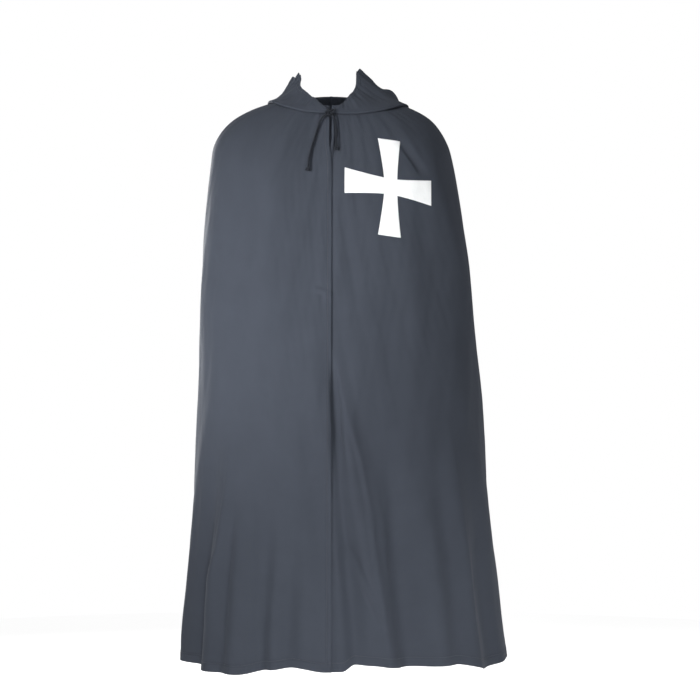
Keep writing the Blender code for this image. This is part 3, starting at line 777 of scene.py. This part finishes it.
def hoodSection(station, angle):
    # down the body from the neck, round the fold, and up the outer layer to the face edge
    share = np.linspace(0, 1, underRows)
    place = placesBelowNeck(angle, station["drop"] * share)
    angles = np.full(share.shape, angle)
    lift = seamGap + solidHalfWall + hoodLift * smoothStep(0, hoodLiftBy, share)
    under = bodyPoint(angles, place) + bodyNormal(angles, place) * lift[:, None]
    outward = bodyNormal(angles[-1:], place[-1:])[0]
    across, ahead = math.sin(math.radians(angle)), math.cos(math.radians(angle))
    down = unit(np.cross((ahead, across, 0), outward))
    middle = under[-1] + outward * station["turn"]
    sweep = np.linspace(0, np.pi, foldRows)[1:, None]
    turn = middle + station["turn"] * (np.sin(sweep) * down - np.cos(sweep) * outward)
    edge = np.array((station["edgeRadius"] * across, -station["edgeRadius"] * ahead, station["edgeZ"]))
    chord, bow = edge - turn[-1], outward * station["bow"] * 4 / 3
    t = outerShares[:, None]
    outer = (
        turn[-1] * (1 - t) ** 3 + 3 * (turn[-1] + chord / 3 + bow) * t * (1 - t) ** 2
        + 3 * (turn[-1] + chord * 2 / 3 + bow) * t**2 * (1 - t) + edge * t**3
    )
    return np.concatenate((under, turn, outer))


def hoodGrid(hood):
    stations = np.linspace(0, len(hood["rows"]) - 1, hoodColumns)
    table = tableAt(hood["rows"], stations)
    for shift in hood["edgeShifts"]:
        away = np.abs(stations - shift.station) / shift.width
        table["edgeZ"] = table["edgeZ"] + shift.rise * fallOff(away)
    sections = []
    for k in range(hoodColumns):
        station = {field: values[k] for field, values in table.items()}
        sections.append(hoodSection(station, hood["side"] * station["angle"]))
    points = np.stack(sections, axis=1)
    if hood["side"] < 0:
        return points[:, ::-1], stations[::-1]
    return points, stations


def hoodRelief(hood, stations, shares):
    out = np.zeros((len(shares), len(stations)))
    for crease in hood["creases"]:
        middle, half = (crease.low + crease.high) / 2, (crease.high - crease.low) / 2
        reach = np.cos(np.clip(np.abs(shares - middle) / half, 0, 1) * np.pi / 2) ** 2
        out += crease.height * fallOff(np.abs(stations - crease.station) / crease.width) * reach
    rng = np.random.default_rng(hood["seed"])
    rising = smoothStep(hoodWaves["starts"], hoodWaves["whole"], shares)
    for waves, height in hoodWaves["waves"]:
        lean = rng.uniform(*hoodWaves["lean"])
        phase = stations * waves * hoodWaves["perStation"] + shares * lean + rng.uniform(*anyPhase)
        out += height * np.cos(phase) * rising
    return out


def makeHood(name, hood):
    points, stations = hoodGrid(hood)
    hidden = len(points) - len(outerShares)
    shares = np.concatenate((np.zeros(hidden), outerShares))[:, None]
    runUp, across = alongLengths(points, 0), alongLengths(points, 1)
    fromEdge = runUp[-1:] - runUp
    fromSeam = across if hood["side"] < 0 else across[:, -1:] - across
    out = hoodRelief(hood, stations, shares)
    out += turnedEdge(fromEdge, faceTurn, across[-1:]) * (shares > 0.3)
    out = out * smoothStep(0, hoodSeamCalm, fromSeam)
    out -= hoodPinch * bell(fromSeam, seamPinchWidth) * (shares > 0)
    points = points - gridNormals(points) * out[..., None]
    made = clothObject(name, points, np.stack((across, runUp), axis=-1), 0.0)

    normals = -gridNormals(points)
    row = stitchLineAt(fromEdge[:, hoodColumns // 2], faceTurn)
    line = points[row] + normals[row] * (shellWall / 2 + hemStitch["lift"])
    runs = [stitchRun(line, normals[row], hemStitch["pitch"])]
    stitches = stitchObject(name + "Stitching", runs, hemStitch)
    fitPiece(made, hood["node"], cloth)
    fitPiece(stitches, hood["node"], thread)
    print(name, "widest", float(across[:, -1].max()), "longest", float(runUp[-1].max()))


for hoodName, hood in hoods.items():
    makeHood(hoodName, hood)
print("stage: hood made")


def searchTree(points):
    return BVHTree.FromPolygons(points.reshape(-1, 3).tolist(), gridQuads(points).tolist())


leftTree, rightTree = searchTree(leftFrontPoints), searchTree(rightFrontPoints)

# Cross, given from its middle as the front view shows it and laid on the left front
armRow = namedtuple("armRow", "name dx dz length tip lean")
cross = {
    "x": 0.1256, "z": -0.1760, "slope": -math.tan(math.radians(8.0)), "wall": 0.0012, "lift": 0.0003,
    "waistX": 0.0140, "waistZ": 0.0172, "hollow": 1.25, "softEdge": 0.0004,
    "cellsAlong": 26, "cellsAcross": 12, "sewnAlong": 24, "sewnAcross": 14,
    "cut": (0.215, 0.215), "area": 0.0150,
    "arms": [
        armRow("top", 0, 1, 0.1000, 0.0232, -0.0030),
        armRow("left", 1, 0, 0.0850, 0.0266, 0),
        armRow("bottom", 0, -1, 0.1045, 0.0236, -0.0030),
        armRow("right", -1, 0, 0.0955, 0.0270, 0),
    ],
}
crossTop = cross["lift"] + cross["wall"]
crossStitch = {"pitch": 0.0032, "length": 0.0026, "width": 0.0007, "height": 0.00035, "lift": 0.00012}
crossStitchIn = 0.0028


def onLeftFront(x, z, lift):
    start = Vector((cross["x"] + x, -1.0, cross["z"] + z + cross["slope"] * x))
    hit, normal, _, _ = leftTree.ray_cast(start, Vector((0, 1, 0)))
    if normal.y > 0:
        normal = -normal
    return hit + normal * lift, normal


def waistPoint(u, v):
    return cross["waistX"] * (2 * u - 1), cross["waistZ"] * (2 * v - 1)


def armPoint(arm, u, v):
    # u runs out along the arm, v from one side to the other
    root, waist = cross["waistX"], cross["waistZ"]
    if arm.dz:
        root, waist = waist, root
    out = root + (arm.length - root) * u
    wide = (waist + (arm.tip - waist) * u ** cross["hollow"]) * (1 - 2 * v)
    return arm.dx * out + arm.dz * wide + arm.lean * u, arm.dz * out - arm.dx * wide


def crossCells(pointAt, along, across):
    # the four corners of each cell, in the front view
    for i in range(along):
        for k in range(across):
            ends = ((i, k), (i + 1, k), (i + 1, k + 1), (i, k + 1))
            yield [pointAt(u / along, v / across) for u, v in ends]


def makeCross():
    count = cross["cellsAcross"]
    cells = list(crossCells(waistPoint, count, count))
    for arm in cross["arms"]:
        cells += crossCells(lambda u, v: armPoint(arm, u, v), cross["cellsAlong"], count)
    points, faces, known = [], [], {}
    for cell in cells:
        face = []
        for x, z in cell:
            key = (round(x, 6), round(z, 6))
            if key not in known:
                known[key] = len(points)
                points.append(onLeftFront(x, z, crossTop)[0])
            face.append(known[key])
        faces.append(face)
    made = meshObject("crossFelt", points, faces)
    facing = sum(p.normal.y * p.area for p in made.data.polygons)
    if facing > 0:
        made.data.flip_normals()
    addWall(made, cross["wall"], -1.0)
    soft = made.modifiers.new("soft edge", "BEVEL")
    soft.width = cross["softEdge"]
    soft.segments = 2
    soft.limit_method = "ANGLE"
    soft.angle_limit = math.radians(50)
    return made


def crossOutline(inset):
    # the sewing line, a little inside the edge, all the way round
    line = []
    for arm in cross["arms"]:
        sides = []
        for v, shift in ((1, -inset), (0, inset)):
            side = []
            for u in np.linspace(0, 1, cross["sewnAlong"]):
                x, z = armPoint(arm, u, v)
                back = inset if u == 1 else 0
                side.append((x - arm.dz * shift - arm.dx * back, z + arm.dx * shift - arm.dz * back))
            sides.append(side)
        outward, inward = sides[0], sides[1][::-1]
        end = np.linspace(outward[-1], inward[0], cross["sewnAcross"])[1:-1]
        line += outward + end.tolist() + inward
    return line + line[:1]


crossFelt = makeCross()
sewn = [onLeftFront(x, z, crossTop + crossStitch["lift"]) for x, z in crossOutline(crossStitchIn)]
sewnPoints, sewnNormals = (np.array(column) for column in zip(*sewn))
crossRuns = [stitchRun(sewnPoints, sewnNormals, crossStitch["pitch"])]
crossStitches = stitchObject("crossStitching", crossRuns, crossStitch)
fitPiece(crossFelt, "cross", felt)
fitPiece(crossStitches, "cross", whiteThread)
print("stage: cross made")

# Tie at the throat: tails by angle, distance down from the neck seam and distance off the cloth
tailRow = namedtuple("tailRow", "name angle drop off")
tails = {
    "right": {
        "rows": [
            tailRow("from the knot", -4.5, 0.0290, 0.0081),
            tailRow("over the edge", -8.5, 0.0322, 0.0088),
            tailRow("falling", -12.0, 0.0395, 0.0072),
            tailRow("turning down", -14.2, 0.0510, 0.0042),
            tailRow("on the cloth", -15.6, 0.0660, 0.0029),
            tailRow("first bend", -16.8, 0.0860, 0.0028),
            tailRow("second bend", -18.2, 0.1100, 0.0028),
            tailRow("before the end", -19.0, 0.1340, 0.0036),
            tailRow("end", -19.0, 0.1560, 0.0053),
        ],
        "surface": bodyPoint, "tree": rightTree, "length": 0.134,
    },
    "left": {
        "rows": [
            tailRow("from the knot", 2.7, 0.0290, 0.0078),
            tailRow("falling", 5.4, 0.0365, 0.0068),
            tailRow("turning down", 6.4, 0.0480, 0.0045),
            tailRow("on the cloth", 6.6, 0.0630, 0.0031),
            tailRow("before the end", 6.4, 0.0825, 0.0036),
            tailRow("end", 6.6, 0.1040, 0.0053),
        ],
        "surface": leftFrontPoint, "tree": leftTree, "length": 0.076,
    },
}
tailSteps = 5
tailClear = 0.0004  # least room between a tail and the cloth
knot = {
    "at": (0.0, -0.0929, -0.0151), "size": (0.0036, 0.0032, 0.0021), "tube": 0.0022, "turn": 0.25,
    "stub": ((0.0068, -0.0866, -0.0085), (0.0058, -0.0893, -0.0118), (0.0032, -0.0918, -0.0140)),
    "stubRadius": 0.95 * cordRadius,
}
endKnot = {"size": (0.00125, 0.0014, 0.0013), "tube": 0.0016, "turn": 0.9, "beyond": 0.0051}


def tubeMesh(line, radius, closed):
    # a tube of eight sides along a line of points, with flat ends where it is open
    sides = 8
    line = np.asarray(line, dtype=float)
    if closed:
        ways = unit(np.roll(line, -1, axis=0) - np.roll(line, 1, axis=0))
    else:
        ways = unit(np.gradient(line, axis=0))
    points, faces = [], []
    aside = (0.3, 0.5, 0.8)  # any direction that no tube here runs in
    first = np.cross(ways[0], aside)
    for p, way in zip(line, ways):
        first = unit(first - way * np.dot(first, way))
        second = np.cross(way, first)
        for k in range(sides):
            turn = 2 * np.pi * k / sides
            points.append(p + radius * (np.cos(turn) * first + np.sin(turn) * second))
    count = len(line)
    for i in range(count if closed else count - 1):
        j = (i + 1) % count
        for k in range(sides):
            m = (k + 1) % sides
            faces.append((i * sides + k, i * sides + m, j * sides + m, j * sides + k))
    if not closed:
        faces.append(tuple(reversed(range(sides))))
        faces.append(tuple((count - 1) * sides + k for k in range(sides)))
    return points, faces


def knotMesh(middle, look):
    # an overhand knot: one strand that winds through itself
    t = np.linspace(0, 2 * np.pi, 73)[:-1]
    x, y, z = np.sin(t) + 2 * np.sin(2 * t), np.cos(t) - 2 * np.cos(2 * t), -np.sin(3 * t)
    strand = np.stack((x, z, y), axis=-1) * look["size"]
    c, s = math.cos(look["turn"]), math.sin(look["turn"])
    strand = strand @ np.array(((c, 0, s), (0, 1, 0), (-s, 0, c)))
    return tubeMesh(strand + middle, look["tube"], True)


def joined(meshes):
    points, faces = [], []
    for p, f in meshes:
        faces += [tuple(k + len(points) for k in face) for face in f]
        points += p
    return points, faces


def makeKnot():
    parts = [knotMesh(np.array(knot["at"]), knot)]
    for side in (-1, 1):
        parts.append(tubeMesh(np.array(knot["stub"]) * (side, 1, 1), knot["stubRadius"], False))
    made = meshObject("tieKnot", *joined(parts))
    fitPiece(made, "tie_knot", cordCloth)


def tailLine(tail):
    last = len(tail["rows"]) - 1
    table = tableAt(tail["rows"], np.linspace(0, last, last * tailSteps + 1))
    line = []
    for angle, drop, off in zip(table["angle"], table["drop"], table["off"]):
        place = placesBelowNeck(angle, np.array((drop,)))
        angles = np.array((angle,))
        point = Vector((tail["surface"](angles, place) + bodyNormal(angles, place) * off)[0])
        near, normal, _, _ = tail["tree"].find_nearest(point)
        normal = normal if normal.y < 0 else -normal
        if (point - near).dot(normal) < cordRadius + tailClear:
            point = near + normal * (cordRadius + tailClear)
        line.append(point)
    return line


def makeTail(label, tail):
    line = tailLine(tail)
    curve = bpy.data.curves.new(f"tieTail_{label}", "CURVE")
    curve.dimensions = "3D"
    curve.bevel_depth = cordRadius
    curve.bevel_resolution = 3
    curve.use_fill_caps = True
    spline = curve.splines.new("POLY")
    spline.points.add(len(line) - 1)
    for place, point in zip(spline.points, line):
        place.co = (*point, 1.0)
    spline.use_smooth = True
    made = bpy.data.objects.new(f"tieTail_{label}", curve)
    bpy.context.scene.collection.objects.link(made)
    onward = (line[-1] - line[-2]).normalized()
    endMiddle = np.array(line[-1] + onward * endKnot["beyond"])
    end = meshObject(f"tieEnd_{label}", *knotMesh(endMiddle, endKnot))
    fitPiece(made, f"tie_tail_{label}", cordCloth)
    fitPiece(end, f"tie_end_{label}", cordCloth)


makeKnot()
for label, tail in tails.items():
    makeTail(label, tail)
print("stage: ties made")

# Stage: a pale floor that glows a little, under soft light from all round
lightRow = namedtuple("lightRow", "name at aim size power spread")
stage = {
    "floorZ": -1.50, "floorRadius": 3.4, "floorColour": (0.93, 0.93, 0.93, 1), "floorGlow": 0.68,
    "worldLight": 0.32, "worldSeen": 1.0,
    "lights": [
        lightRow("key", (-2.3, -2.75, -0.38), (-0.08, 0, -0.38), 0.9, 3.2, 13),
        lightRow("fill", (2.3, -2.9, -0.50), (0.14, 0, -0.40), 1.2, 0.80, 22),
        lightRow("hem", (0.2, -2.6, -1.36), (0.03, 0, -1.22), 0.9, 1.9, 18),
        lightRow("hood", (-0.25, -1.7, 1.10), (0, 0.12, 0.02), 0.4, 0.16, 14),
        lightRow("back", (-1.6, 2.90, 0.10), (0, 0, -0.55), 1.0, 48, 120),
    ],
    "cameraAt": (0.041, -4.5, -0.516), "seenWidth": 1.505, "sensor": 36.0,
}
white = (1, 1, 1, 1)


def makeFloor():
    turns = np.linspace(0, 2 * np.pi, 97)[:-1]
    radius = stage["floorRadius"]
    points = [(radius * math.cos(a), radius * math.sin(a), stage["floorZ"]) for a in turns]
    floor = meshObject("floor", points, [range(len(points))])
    material = bpy.data.materials.new("pale floor")
    material.use_nodes = True
    shader = material.node_tree.nodes["Principled BSDF"]
    shader.inputs["Base Color"].default_value = stage["floorColour"]
    shader.inputs["Roughness"].default_value = 0.9
    shader.inputs["Emission Color"].default_value = white
    shader.inputs["Emission Strength"].default_value = stage["floorGlow"]
    floor.data.materials.append(material)


def makeWorld():
    # the background that the camera sees is brighter than the light that it gives
    world = bpy.data.worlds.new("studio")
    world.use_nodes = True
    tree = world.node_tree
    given = tree.nodes["Background"]
    given.inputs["Color"].default_value = white
    given.inputs["Strength"].default_value = stage["worldLight"]
    seen = addNode(tree, "ShaderNodeBackground", Color=white, Strength=stage["worldSeen"])
    path = addNode(tree, "ShaderNodeLightPath")
    mix = addNode(tree, "ShaderNodeMixShader")
    tree.links.new(path.outputs["Is Camera Ray"], mix.inputs[0])
    tree.links.new(given.outputs[0], mix.inputs[1])
    tree.links.new(seen.outputs[0], mix.inputs[2])
    tree.links.new(mix.outputs[0], tree.nodes["World Output"].inputs["Surface"])
    bpy.context.scene.world = world


def makeLight(look):
    light = bpy.data.lights.new(look.name, "AREA")
    light.shape = "DISK"
    light.size = look.size
    light.energy = look.power
    light.spread = math.radians(look.spread)
    lamp = bpy.data.objects.new(look.name, light)
    lamp.location = look.at
    lamp.rotation_euler = (Vector(look.aim) - Vector(look.at)).to_track_quat("-Z", "Y").to_euler()
    bpy.context.scene.collection.objects.link(lamp)


def makeCamera():
    camera = bpy.data.cameras.new("camera")
    camera.sensor_width = stage["sensor"]
    camera.lens = stage["sensor"] * -stage["cameraAt"][1] / stage["seenWidth"]
    camera.dof.use_dof = False
    eye = bpy.data.objects.new("camera", camera)
    eye.location = stage["cameraAt"]
    eye.rotation_euler = (math.pi / 2, 0, 0)
    bpy.context.scene.collection.objects.link(eye)
    bpy.context.scene.camera = eye


makeFloor()
makeWorld()
for look in stage["lights"]:
    makeLight(look)
makeCamera()
bpy.context.scene.view_settings.view_transform = "Standard"
bpy.context.scene.view_settings.look = "None"
print("stage: lights and camera set")
